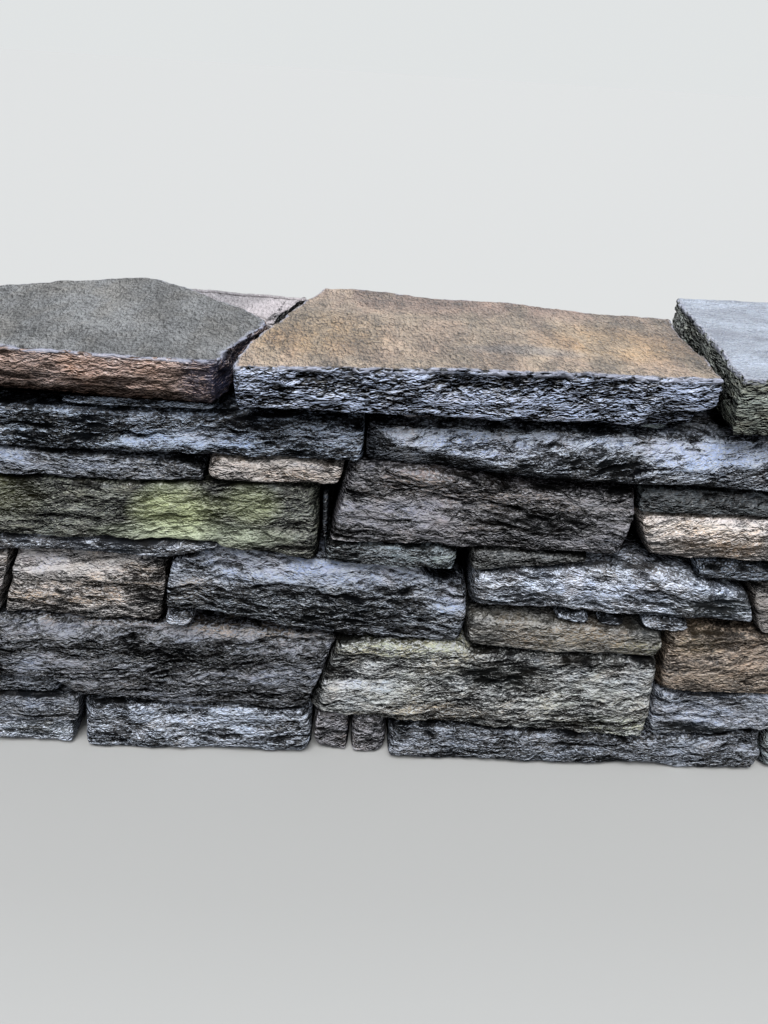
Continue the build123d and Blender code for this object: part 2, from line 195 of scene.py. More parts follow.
def cut(solid, origin, normal, axes):
    """The outline of a solid where a plane cuts it, anticlockwise in the two given axes."""
    corners, triangles = solid
    side = (corners - np.array(origin)) @ np.array(normal, float) + 1e-7
    ends = {}
    for triangle in triangles:
        crossing = []
        for a, b in zip(triangle, np.roll(triangle, -1)):
            if (side[a] < 0) != (side[b] < 0):
                point = corners[a] + (corners[b] - corners[a]) * side[a] / (side[a] - side[b])
                crossing.append((round(point[axes[0]], 2), round(point[axes[1]], 2)))
        if len(crossing) == 2 and crossing[0] != crossing[1]:
            ends.setdefault(crossing[0], []).append(crossing[1])
            ends.setdefault(crossing[1], []).append(crossing[0])
    loop = [min(ends)]
    before = None
    while True:
        after = next((p for p in ends[loop[-1]] if p != before), None)
        if after is None or after == loop[0]:
            break
        before = loop[-1]
        loop.append(after)
    loop = np.array(loop)
    area = np.sum(loop[:, 0] * np.roll(loop[:, 1], -1) - loop[:, 1] * np.roll(loop[:, 0], -1))
    return loop if area > 0 else loop[::-1]


def arc_along(line):
    """Distances along a line, from 0 at its start."""
    return np.concatenate([[0], np.cumsum(np.linalg.norm(np.diff(line, axis=0), axis=1))])


def resample(line, count):
    at = arc_along(line)
    wanted = np.linspace(0, at[-1], count + 1)
    return np.stack([np.interp(wanted, at, line[:, k]) for k in (0, 1)], axis=1)


def four_sides(polygon, stiffness):
    """Bottom, right, top and left of an outline, each running anticlockwise."""
    h, v = ((polygon - polygon.min(axis=0)) / np.ptp(polygon, axis=0)).T
    h = h * stiffness
    corner = [np.argmin(h + v), np.argmax(h - v), np.argmax(h + v), np.argmin(h - v)]
    sides = []
    for a, b in zip(corner, corner[1:] + corner[:1]):
        b = b if b >= a else b + len(polygon)
        run = polygon[np.arange(a, b + 1) % len(polygon)]
        sides.append(run if len(run) > 1 else np.vstack([run, run]))
    return sides


def length_of(line):
    return np.linalg.norm(np.diff(line, axis=0), axis=1).sum()


def spread_loop(polygon, cells, stiffness, counts=None):
    """The outline as an even loop, with the number of cells along and up."""
    bottom, right, top, left = four_sides(polygon, stiffness)
    along = max(5, round(max(length_of(bottom), length_of(top)) / cells[0]))
    up = max(5, round(max(length_of(left), length_of(right)) / cells[1]))
    along, up = counts or (along, up)
    parts = [resample(bottom, along), resample(right, up), resample(top, along), resample(left, up)]
    return np.vstack([part[:-1] for part in parts]), along, up


def softened(loop, rounds):
    for _ in range(rounds):
        loop = 0.5 * loop + 0.25 * (np.roll(loop, 1, axis=0) + np.roll(loop, -1, axis=0))
    return loop


def rounded(loop, size, cell):
    """The loop with its corners rounded by about the given size."""
    return softened(loop, max(2, round(2 * (size / cell) ** 2)))


def blunted(loop, seed, near_end=55.0):
    """The outline with its two ends worn to blunt noses, each highest at its own level."""
    loop = loop.copy()
    near_end = min(near_end, 0.4 * np.ptp(loop[:, 0]))
    for k, end in enumerate((loop[:, 0].min(), loop[:, 0].max())):
        inwards = 1 - 2 * k
        near = np.clip(1 - (loop[:, 0] - end) * inwards / near_end, 0, 1)
        low, high = np.percentile(loop[near > 0, 1], (2, 98))
        level = (loop[:, 1] - low) / (high - low) * 2 - 1
        nose = 0.5 * lattice(seed, k, 61)
        deep = min(1.5 + 0.08 * (high - low), 8) * (1 + 0.7 * lattice(seed, k, 62))
        loop[:, 0] += inwards * near * deep * np.minimum(np.abs(level - nose) ** 1.7, 1.6)
    return loop


def outwards(loop):
    """Unit vectors that point out of an anticlockwise loop."""
    along = softened(np.roll(loop, -2, axis=0) - np.roll(loop, 2, axis=0), 2)
    along /= np.linalg.norm(along, axis=1)[:, None] + 1e-9
    return np.stack([along[:, 1], -along[:, 0]], axis=1)


def coons(loop, along, up):
    """A grid of points that fills a loop, and u and v over it."""
    closed = np.vstack([loop, loop[:1]])
    bottom = closed[: along + 1]
    right = closed[along : along + up + 1]
    top = closed[along + up : 2 * along + up + 1][::-1]
    left = closed[2 * along + up :][::-1]
    u, v = np.meshgrid(np.linspace(0, 1, along + 1), np.linspace(0, 1, up + 1))
    u3, v3 = u[..., None], v[..., None]
    ruled = blend(bottom[None], top[None], v3) + blend(left[:, None], right[:, None], u3)
    flat = blend(blend(bottom[0], bottom[-1], u3), blend(top[0], top[-1], u3), v3)
    return ruled - flat, u, v


def distance_to(points, loop):
    """Distance from each point to a closed loop."""
    a, b = loop, np.roll(loop, -1, axis=0)
    way = b - a
    size = (way**2).sum(axis=1) + 1e-9
    nearest = np.full(len(points), 1e9)
    for start in range(0, len(a), 32):
        part = slice(start, start + 32)
        gap = points[:, None] - a[None, part]
        t = np.clip((gap * way[None, part]).sum(axis=2) / size[None, part], 0, 1)
        off = gap - t[..., None] * way[None, part]
        nearest = np.minimum(nearest, np.sqrt((off**2).sum(axis=2).min(axis=1)))
    return nearest


def boxed(field, reach):
    """A field averaged over neighbours up its own grid."""
    padded = np.pad(field, ((reach, reach), (0, 0)), mode="edge")
    return sum(padded[k : k + field.shape[0]] for k in range(2 * reach + 1)) / (2 * reach + 1)


def face_depth(solid, side, points):
    """How far behind the plain face a ray from outside meets the solid, at each point."""
    corners, triangles = solid
    tree = BVHTree.FromPolygons(corners.tolist(), triangles.tolist())
    inwards = Vector((0, -side, 0))
    depth = np.full(len(points), np.nan)
    for k, (h, v) in enumerate(points):
        hit = tree.ray_cast(Vector((h, side * 1000, v)), inwards)[0]
        if hit:
            depth[k] = foot_half_width - batter * v - side * hit.y
    return np.where(np.isnan(depth), np.nanmedian(depth), depth)


# Carving one stone

class Carving:
    """Vertices and faces for all the stones of one piece. For each vertex it keeps a painted
    shade, stored as relief: darker in creases, at rims and on the ends and undersides behind a
    face. It keeps how strongly a painted highlight lies on the edge there, stored as worn, and
    how far the large facet that it lies on leans back to the sky, which the shader paints lighter
    and bluer."""

    def __init__(self):
        self.points, self.faces, self.kinds = [], [], []
        self.values = {"relief": [], "worn": [], "lit": []}
        self.count = 0
        self.kind = 0

    def add_face(self, corners):
        self.faces.append(corners)
        self.kinds.append(self.kind)

    def add_points(self, points, relief, worn=0.0, lit=0.0):
        start = self.count
        self.points.append(points)
        for kind, value in (("relief", relief), ("worn", worn), ("lit", lit)):
            self.values[kind].append(np.broadcast_to(value, len(points)))
        self.count += len(points)
        return np.arange(start, self.count)

    def add_ring(self, before, points, relief, worn=0.0, kept=None):
        """A loop of points, joined to the loop before it."""
        ring = self.add_points(points, relief, worn)
        self.bridge(before, ring, kept)
        return ring

    def bridge(self, first, second, kept=None):
        """Faces between two loops. kept lists the corners of the first that the second has."""
        if kept is None:
            kept = np.arange(len(first))
        for k in range(len(kept)):
            a, b = kept[k], kept[(k + 1) % len(kept)]
            b_far = b if b > a else b + len(first)
            run = [first[i % len(first)] for i in range(a, b_far + 1)]
            self.add_face(run + [second[(k + 1) % len(kept)], second[k]])

    def grid(self, index):
        for row in range(index.shape[0] - 1):
            for column in range(index.shape[1] - 1):
                low, low_right, high, high_right = index[row : row + 2, column : column + 2].ravel()
                self.add_face([low, low_right, high_right, high])

    def finish(self, name):
        mesh = bpy.data.meshes.new(name)
        points = np.vstack(self.points) / 1000
        mesh.from_pydata(points.tolist(), [], [[int(i) for i in face] for face in self.faces])
        for kind, values in self.values.items():
            attribute = mesh.attributes.new(kind, "FLOAT", "POINT")
            attribute.data.foreach_set("value", np.concatenate(values).astype(np.float32))
        mesh.polygons.foreach_set("material_index", self.kinds)
        work = bmesh.new()
        work.from_mesh(mesh)
        bmesh.ops.remove_doubles(work, verts=work.verts, dist=0.00005)
        bmesh.ops.recalc_face_normals(work, faces=work.faces)
        work.to_mesh(mesh)
        work.free()
        mesh.polygons.foreach_set("use_smooth", [True] * len(mesh.polygons))
        return placed(name, mesh)


def placed(name, data):
    """A new object in the scene."""
    thing = bpy.data.objects.new(name, data)
    bpy.context.collection.objects.link(thing)
    return thing


def rim_wave(x, y, look):
    """How the rim widens and narrows over a stone."""
    return 1 + 0.55 * noise(x / 45, y / 30, look.seed + 21)


def rim_of(loop, look, size):
    """How far the rounded rim reaches in, along the loop."""
    return min(rim_radius, 0.32 * size) * rim_wave(*loop.T, look)


def carve_cap(carving, loop, along, up, place, look, rim, base_at, relief_at=broken, arris=0.0):
    """The rounded, broken face inside a loop. base_at gives its depth before it is broken, and
    arris says how strongly its edge gets the painted highlight. Returns the indices of its
    border, their depth, and how far the border is ragged."""
    normal = outwards(loop)
    x, y = loop.T
    ragged = joint_worn + 1.2 * (1 + noise(x / 15, y / 11, look.seed + 31))
    ragged = ragged + 4.5 * np.maximum(0, noise(x / 62, y / 34, look.seed + 33))
    upright = 0.45 + 0.55 * np.abs(normal[:, 1])
    inset = (np.minimum(ragged, 0.55 * rim) + 0.24 * rim) * upright
    border = loop - normal * inset[:, None]
    grid, u, v = coons(border, along, up)
    flat = grid.reshape(-1, 2)
    x, y = grid[..., 0], grid[..., 1]
    off = distance_to(flat, loop).reshape(u.shape)
    reach = rim.mean() * rim_wave(x, y, look)
    inside = np.clip(off - joint_worn, 0, reach)
    drop = reach - np.sqrt(np.maximum(reach**2 - (reach - inside) ** 2, 0))
    relief = relief_at(x, y, look)
    shelter = coons(loop - normal * np.minimum(rim, 8)[:, None], along, up)[0]
    base = base_at(shelter.reshape(-1, 2)).reshape(u.shape)
    depth = boxed(base, 1) + drop - relief
    crease = relief - boxed(relief, 3)
    # Painted shade, stored as relief: darker in creases and where the rim turns under, most towards the
    # bottom. worn marks the painted highlight along a slab's top edge, and lit says how far the large facet
    # leans back, which the shader paints lighter and bluer.
    shade = 0.5 + crease / 8 + relief / 40 - 0.19 * (drop / reach) ** 1.5 * (1.15 - v)
    worn = arris * np.clip(1.2 - off / 5.5, 0, 1)
    rise = np.maximum(np.gradient(y, axis=0), 0.6)
    lit = np.gradient(boxed(depth, 4), axis=0) / rise
    points = place(*flat.T, depth.ravel())
    index = carving.add_points(points, shade.ravel(), worn.ravel(), lit.ravel()).reshape(u.shape)
    carving.grid(index)
    edge = [index[0, :-1], index[:-1, -1], index[-1, :0:-1], index[:0:-1, 0]]
    border_depth = [depth[0, :-1], depth[:-1, -1], depth[-1, :0:-1], depth[:0:-1, 0]]
    return np.concatenate(edge), np.concatenate(border_depth), ragged


def carve_face_stone(carving, solid, side, cells, look, broken_edge=False):
    """A stone of the front (side -1) or the back (side 1). broken_edge keeps the lower edge of
    its face where the solid has it, and not where the solid is widest."""
    corners = corners_of(solid)
    depth_of = foot_half_width - batter * corners[:, 2] - corners[:, 1] * side
    length = depth_of.max()
    outer = depth_of.min()
    reach = outer + 0.5 * (length - outer)
    polygon = cut(solid, (0, side * (foot_half_width - reach), 0), (0, side, batter), (0, 2))
    loop, along, up = spread_loop(polygon, cells, 4.0)
    loop = rounded(loop, look.soft, cells[0])
    rear = loop
    if look.blunt:
        loop = blunted(loop, look.seed)
    if broken_edge:
        near = cut(solid, (0, side * (foot_half_width - outer - 8), 0), (0, side, batter), (0, 2))
        bottom, top = four_sides(near, 4.0)[0], four_sides(polygon, 4.0)[2]
        ends = [np.vstack([bottom[-1], top[0]]), np.vstack([top[-1], bottom[0]])]
        sides = ((bottom, along), (ends[0], up), (top, along), (ends[1], up))
        loop = np.vstack([resample(line, count)[:-1] for line, count in sides])
        loop = rounded(loop, look.soft, cells[0])

    def place(h, v, d):
        return np.stack([h, side * (foot_half_width - batter * v - d), v], axis=1)

    def base_at(points):
        return face_depth(solid, side, points)

    rim = rim_of(loop, look, min(np.ptp(polygon, axis=0)))
    border, edge_depth, ragged = carve_cap(carving, loop, along, up, place, look, rim, base_at)
    normal = outwards(loop)
    before = border
    rear_normal = outwards(rear)
    for turn, back, fade in face_rings:
        worn = ragged * (1 - 0.6 * fade) + turn * rim
        base = blend(edge_depth, edge_depth.mean(), fade)
        t = smooth(min(1, back / 1.5))
        at = blend(loop - normal * worn[:, None], rear - rear_normal * worn[:, None], t)
        # Painted shade on the rings behind the border: dark on the ends and underside of a stone, less on
        # its top side, which faces up.
        shade = blend(0.34 - 0.16 * fade, 0.5, np.clip(1.3 * normal[:, 1], 0, 1))
        before = carving.add_ring(before, place(*at.T, base + back * rim), shade)
    kept = np.arange(0, len(loop), kept_corner)
    at = (rear - rear_normal * 0.3)[kept]
    start = max(behind_rim, edge_depth.mean() + 1.9 * rim.max()) if behind_rim < length else length
    for d, corners in ((start, kept), (length, None)):
        before = carving.add_ring(before, place(*at.T, d), shade[kept], kept=corners)
    carving.add_face(list(before[::-1]))


def carve_tie(carving, solid, outer_side, look):
    """A stone that runs through the end of the wall, worked from both of its ends."""
    polygon = cut(solid, (0, 0.01, 0), (0, 1, 0), (0, 2))
    loop, along, up = spread_loop(polygon, tie_cells, 1.5)
    loop = rounded(loop, look.soft, tie_cells[0])
    normal = outwards(loop)
    middle = foot_half_width - batter * loop[:, 1].mean()
    rim = rim_of(loop, look, min(np.ptp(polygon, axis=0)))
    showing = np.clip(normal[:, 0] * outer_side * 1.4, 0, 1)
    kept = np.array([k for k in range(len(loop)) if showing[k] > 0.2 or k % kept_corner == 0])
    for side in (-1, 1):

        def place(h, v, d):
            full = foot_half_width - batter * v
            return np.stack([h, side * full * (1 - d / middle), v], axis=1)

        def moved(ring, ring_normal, d, worn, weight):
            y = side * middle * (1 - d / middle)
            relief = broken(y + 400, ring[:, 1], look)
            out = weight * (relief - 2.5) - worn
            return ring + ring_normal * out[:, None], relief

        def base_at(points):
            return face_depth(solid, side, points)

        before, edge_depth, ragged = carve_cap(carving, loop, along, up, place, look, rim, base_at)
        for turn, back in tie_rings:
            base = blend(edge_depth, edge_depth.mean(), back)
            at, relief = moved(loop, normal, 0, ragged * (1 - 0.5 * back) + turn * rim, showing * back)
            # Painted shade: the sides that don't show are dark.
            shade = blend(0.3, 0.5 + relief / 30, showing)
            before = carving.add_ring(before, place(*at.T, base + back * rim), shade)
        start = edge_depth.mean() + 1.7 * rim.max()
        rows = max(2, round((middle - start) / tie_row))
        for k, d in enumerate(np.linspace(start, middle, rows + 1)):
            worn = blend(0.6, 0.3, k / rows) + showing[kept] * 0.5
            at, relief = moved(loop[kept], normal[kept], d, worn, showing[kept])
            # Painted shade further in: dark where the side doesn't show.
            shade = blend(0.15, 0.5 + relief / 14, showing[kept])
            corners = kept if k == 0 else None
            before = carving.add_ring(before, place(*at.T, d), shade, kept=corners)


def carve_slab(
    carving, solid, look, cells, lip=(0.0, 0.0), square=1.0, stretch=0.0, broken_from=-2000.0,
    round_back=0.0, smaller=0.0,
):
    """A coping slab: a split top, and sides that are broken across the layers. lip is how much
    further the front's edge hangs down at its left and its right end, square the share of the
    slope to the bed that it keeps short of broken_from, and stretch how far its left end reaches
    out. round_back rounds its far corners, and smaller is how much it is worn down all round."""
    corners = corners_of(solid)
    low, high = corners[:, 2].min(), corners[:, 2].max()
    thickness = high - low
    polygon = cut(solid, (0, 0, low + 0.75 * thickness), (0, 0, 1), (0, 1))
    loop, along, up = spread_loop(polygon, cells, 1.0)
    loop = softened(loop, 4)
    bed = cut(solid, (0, 0, low + 0.5), (0, 0, 1), (0, 1))
    bed = softened(spread_loop(bed, cells, 1.0, (along, up))[0], 4)
    if round_back:
        middle = loop[:, 1].mean()
        far = smooth(np.clip((loop[:, 1] - middle) / 80, 0, 1))[:, None]
        loop = blend(loop, rounded(loop, round_back, cells[0]), far)
    normal = outwards(loop)
    wander = 2.6 * fbm(loop[:, 0] / 75, loop[:, 1] / 75, look.seed + 51, 2) - 1.0
    wander = wander + stretch * np.clip(-normal[:, 0], 0, 1) - smaller
    loop = loop + normal * wander[:, None]
    bed = bed + normal * wander[:, None]
    kept_slope = blend(square, 1.0, smooth(np.clip((loop[:, 0] - broken_from) / 90, 0, 1)))
    along_front = (loop[:, 0] - loop[:, 0].min()) / np.ptp(loop[:, 0])
    hang = blend(*lip, along_front) * smooth(np.clip((-normal[:, 1] - 0.25) / 0.5, 0, 1))
    arc = arc_along(loop)
    seam = np.clip(np.minimum(arc, arc[-1] - arc) / 30, 0, 1)

    def place(h, v, d):
        return np.stack([h, v, high - 0.5 * smaller * np.clip(1 - d / thickness, 0, 1) - d], axis=1)

    rim = np.full(len(loop), slab_rim)
    rows = max(4, round(thickness / slab_row))
    depths = np.linspace(0, thickness, rows + 1)[1:]
    sides = [seam * broken(arc + 37 * look.seed, np.full(len(loop), high - d), look) for d in depths]
    shift = slab_inset * look.rough + 0.8 * rim - sides[0]

    def base_at(points):
        return np.full(len(points), 1.5)

    wavy = loop - normal * (shift - joint_worn)[:, None] * 0.75
    carving.kind = 1
    before, edge_depth, _ = carve_cap(
        carving, wavy, along, up, place, look, rim, base_at, relief_at=split_top, arris=1.0
    )
    carving.kind = 0
    for d, relief in zip(depths, sides):
        share = d / thickness
        fall = smooth(np.clip((share - 0.4) / 0.6, 0, 1)) * kept_slope[:, None]
        out = relief - slab_inset * look.rough
        near_end = np.clip((share - 0.88) / 0.12, 0, 1) ** 1.5 * 6
        at = blend(loop, bed, fall) + normal * (out - near_end)[:, None]
        depth = d + hang * share + edge_depth * (1 - share) ** 6
        # Painted shade down a slab's side: darker where it is sunk in and at the undercut by the bed. Its
        # top rows carry the painted edge highlight.
        shade = 0.5 + (relief - np.mean(sides, axis=0)) / 11 - 0.05 * near_end
        before = carving.add_ring(before, place(*at.T, depth), shade, max(0.0, 1.15 - d / 7))
    kept = np.arange(0, len(loop), kept_corner)
    at = (bed - normal * 16)[kept]
    # The ring at the bed gets dark painted shade.
    before = carving.add_ring(before, place(*at.T, np.full(len(kept), thickness)), 0.1, kept=kept)
    carving.add_face(list(before[::-1]))


# Materials

def rgb(red, green, blue):
    """A colour as seen on a screen, 0 to 255, as the linear values that the shader takes."""
    seen = (red / 255, green / 255, blue / 255)
    return tuple(((c + 0.055) / 1.055) ** 2.4 if c > 10 / 255 else c / 12.92 for c in seen)


class Nodes:
    """A material and short ways to build its nodes."""

    def __init__(self, name):
        self.material = bpy.data.materials.new(name)
        self.material.use_nodes = True
        self.tree = self.material.node_tree
        self.shader = self.tree.nodes["Principled BSDF"]
        self.place = self.add("ShaderNodeTexCoord").outputs["Object"]

    def put(self, socket, value):
        """Puts a number, a colour or another node's output into an input."""
        if isinstance(value, bpy.types.NodeSocket):
            self.tree.links.new(value, socket)
        else:
            socket.default_value = (*value, 1) if socket.type == "RGBA" else value

    def add(self, kind, **values):
        """A node with its inputs and settings."""
        node = self.tree.nodes.new(kind)
        for key, value in values.items():
            if key in node.inputs:
                self.put(node.inputs[key], value)
            else:
                setattr(node, key, value)
        return node

    def surface(self, inputs):
        """Fills the shader's inputs and returns the material."""
        for key, value in inputs.items():
            self.put(self.shader.inputs[key], value)
        return self.material

    def attribute(self, name):
        return self.add("ShaderNodeAttribute", attribute_name=name).outputs["Fac"]

    def noise(self, vector, scale, detail, rough, distortion):
        facts = dict(Scale=scale, Detail=detail, Roughness=rough, Distortion=distortion)
        return self.add("ShaderNodeTexNoise", Vector=vector, **facts).outputs["Fac"]

    def bump(self, height, strength, distance):
        node = self.add("ShaderNodeBump", Height=height, Strength=strength, Distance=distance)
        return node.outputs["Normal"]

    def ramp(self, value, stops):
        node = self.add("ShaderNodeValToRGB", Fac=value)
        elements = node.color_ramp.elements
        while len(elements) < len(stops):
            elements.new(0.5)
        for element, (at, colour) in zip(elements, stops):
            element.position = at
            element.color = (*colour, 1)
        return node.outputs["Color"]

    def band(self, value, low, high, out_low=0.0, out_high=1.0):
        limits = {"From Min": low, "From Max": high, "To Min": out_low, "To Max": out_high}
        return self.add("ShaderNodeMapRange", Value=value, **limits).outputs["Result"]

    def mix(self, factor, a, b, kind="MIX"):
        node = self.add("ShaderNodeMix", data_type="RGBA", blend_type=kind)
        for socket, value in zip((0, 6, 7), (factor, a, b)):
            self.put(node.inputs[socket], value)
        return node.outputs[2]

    def tinted(self, colour, tint):
        return self.mix(1.0, colour, tint, "MULTIPLY")

    def math(self, kind, a, b):
        node = self.add("ShaderNodeMath", operation=kind)
        self.put(node.inputs[0], a)
        self.put(node.inputs[1], b)
        return node.outputs[0]

    def plus(self, a, b):
        return self.math("ADD", a, b)

    def times(self, a, b):
        return self.math("MULTIPLY", a, b)

    def near(self, centre, reach):
        """1 at a place, in metres, falling to 0 as far from it as reach says."""
        move = self.add("ShaderNodeMapping", vector_type="TEXTURE", Location=centre, Scale=reach)
        self.put(move.inputs["Vector"], self.place)
        ball = self.add("ShaderNodeTexGradient", gradient_type="SPHERICAL", Vector=move.outputs["Vector"])
        return self.band(ball.outputs["Fac"], 0.0, 0.55)

    def towards_sky(self, normal, sky=(0.1, -0.45, 0.88)):
        """How far a normal is turned to the light. On a stone's face that comes from above and
        a little in front."""
        node = self.add("ShaderNodeVectorMath", operation="DOT_PRODUCT")
        self.put(node.inputs[0], normal)
        self.put(node.inputs[1], sky)
        return node.outputs["Value"]

    def stretched(self, dip, scale, shift):
        """Object coordinates turned with the layers and drawn out along them."""
        turn = self.add("ShaderNodeMapping", Vector=self.place, Rotation=(0, dip, 0), Location=(shift, 0, 0))
        return self.add("ShaderNodeMapping", Vector=turn.outputs["Vector"], Scale=scale).outputs["Vector"]


tone_stops = (0.405, 0.505, 0.59, 0.665, 0.78)
split_stops = (0.30, 0.41, 0.50, 0.60, 0.72)
darkened = 0.88  # the tones are written as seen, and the lamps are this much too strong for them
seed_shift = 0.37  # how far, in metres, each seed moves the patterns along a stone
warm_tint = (1.10, 0.99, 0.88)
cool_tint = (0.93, 1.0, 1.09)
# The tint of the painted reflection of the sky on large facets that lean back.
painted_sky_reflection = (1.02, 1.05, 1.16)

# Places on a stone that differ from the rest of it: how much lighter, and the tint. All lie on
# the front face. They fade out over a little more than their size, X and Z. sky is a painted
# reflection of the sky, blue_shade is painted shade, and tan is the brown of a top ledge with
# painted light where it faces up.
mark_y = -0.22
mark_depth = 0.3
mark_spread = (1.5, 1.6)
mark_kinds = {
    "sky": (0.13, (1.0, 1.03, 1.12)),
    "pale": (0.10, (1.05, 1.02, 0.96)),
    "brown": (0.02, (1.13, 0.97, 0.80)),
    "olive": (0.02, (1.05, 1.04, 0.80)),
    "dark": (-0.15, (0.97, 1.02, 0.98)),
    "tan": (0.12, (1.22, 1.0, 0.76)),
    "blue_shade": (-0.16, (0.72, 0.88, 1.3)),
}


def schist(
    name, tones, second=None, dip=0.0, patches=(), marks=(), arris=None, seed=0, drawn=2.3, cloudy=1.0,
    scale=76.0,
):
    """Wet foliated stone, crinkled like foil. tones run from painted shade in the crevices to
    painted glints, in five steps, and follow how far each small facet is turned towards the
    light, which paints light and shade into the colour. second tints some of the blotches, arris
    is the colour of the painted highlight along the slabs' top edges, drawn says how much the
    pattern is drawn out along the layers, and cloudy how much light and dark come in clouds."""
    nodes = Nodes(name)
    band, plus, times = nodes.band, nodes.plus, nodes.times

    def pattern(squeezed, size, detail, rough, distortion=0.0, turn=0.0, move=0.0):
        place = nodes.stretched(dip + turn, (1, 1, squeezed), seed_shift * seed + move)
        return nodes.noise(place, size, detail, rough, distortion)

    foil = pattern(drawn, scale, 2.0, 0.5, 0.9)
    slanted = pattern(drawn, 0.6 * scale, 3.0, 0.5, 0.6, turn=0.42)
    folds = pattern(1.7 * drawn, 16.0, 5.0, 0.6, 0.7)
    blotches = pattern(1.7, 7.0, 4.0, 0.6, 0.3)
    hues = pattern(1.7, 16.0, 5.0, 0.65, 0.5, move=3.0)
    grain = pattern(1.6, 420.0, 3.0, 0.7)
    sparks = pattern(1.2 * drawn, 2.2 * scale, 1.0, 0.5, 0.8, turn=0.1, move=5.0)
    relief = nodes.attribute("relief")
    lit = nodes.attribute("lit")

    height = plus(times(foil, 0.55), times(slanted, 0.75))
    height = plus(height, times(sparks, 0.26))
    height = plus(height, times(grain, 0.03))
    normal = nodes.bump(height, 1.0, 0.009)
    # Painted light and shade: the tone follows how far each small bumped facet turns to the light, measured
    # against its large face, and the painted shade stored as relief.
    small = nodes.towards_sky(normal)
    large = nodes.towards_sky(nodes.add("ShaderNodeNewGeometry").outputs["Normal"])
    painted_facet_light = nodes.math("SUBTRACT", small, times(large, 0.8))
    value = band(painted_facet_light, -0.34, 0.56, 0.0, 0.88 - 0.40 * cloudy)
    for part, low, high, share in (
        (folds, 0.36, 0.64, 0.25 * cloudy),
        (blotches, 0.36, 0.64, 0.15 * cloudy),
        (relief, 0.28, 0.72, 0.16),
    ):
        value = plus(value, band(part, low, high, 0.0, share))
    # Painted light: large facets that lean back to the sky are lighter, and bluer by the painted sky
    # reflection.
    value = plus(value, band(lit, -0.5, 0.7, -0.13, 0.13))

    tinted_places = [(band(lit, 0.15, 0.6, 0.0, 0.8), painted_sky_reflection)]
    for kind, x, z, half_width, half_height in marks:
        lighter, tint = mark_kinds[kind]
        wide, high = mark_spread[0] * half_width / 1000, mark_spread[1] * half_height / 1000
        near = nodes.near((x / 1000, mark_y, z / 1000), (wide, mark_depth, high))
        near = times(near, band(folds, 0.36, 0.50, 0.45, 1.0))
        value = plus(value, times(near, lighter))
        tinted_places.append((near, tint))
    colour = nodes.ramp(value, tuple(zip(tone_stops, tones)))
    for near, tint in tinted_places:
        colour = nodes.mix(near, colour, nodes.tinted(colour, tint))

    hue_stops = ((0.0, cool_tint), (0.5, (1, 1, 1)), (1.0, warm_tint))
    colour = nodes.tinted(colour, nodes.ramp(band(hues, 0.36, 0.64), hue_stops))
    if second:
        colour = nodes.mix(band(blotches, 0.44, 0.60), colour, nodes.tinted(colour, second))
    # Painted glints: small bright flecks where the tone is already light.
    painted_glint = times(band(sparks, 0.53, 0.57), band(value, 0.48, 0.64))
    colour = nodes.mix(painted_glint, colour, tones[4])
    # Patches: films of colour such as moss, and on the right slab's side a near-black patch of painted
    # shade.
    for patch, centre, reach, strength in patches:
        patch_mask = times(nodes.near(centre, reach), band(value, 0.42, 0.64, 0.15, 1.0))
        patch_mask = times(patch_mask, band(blotches, 0.34, 0.50, 0.55, strength))
        colour = nodes.mix(patch_mask, colour, nodes.mix(0.62, colour, patch))
    # Painted highlight along the slabs' top edges, where the carving stored worn.
    if arris:
        worn = times(nodes.attribute("worn"), band(foil, 0.40, 0.54))
        colour = nodes.mix(worn, colour, arris)
    # Painted shade: the colour darkens where the carving stored shade in relief, in crevices, at rims and
    # under stones.
    painted_crevice_shade = band(relief, 0.08, 0.42, 0.22, 1.0)
    colour = nodes.tinted(colour, nodes.ramp(painted_crevice_shade, ((0.0, (0, 0, 0)), (1.0, (1, 1, 1)))))
    shine = times(band(value, 0.44, 0.64), painted_crevice_shade)
    return nodes.surface({
        "Base Color": colour,
        "Roughness": band(value, 0.40, 0.68, 0.60, 0.28),
        "Coat Weight": shine,
        "Specular IOR Level": times(shine, 0.6),
        "Coat Roughness": 0.14,
        "Normal": normal,
        "Coat Normal": normal,
    })


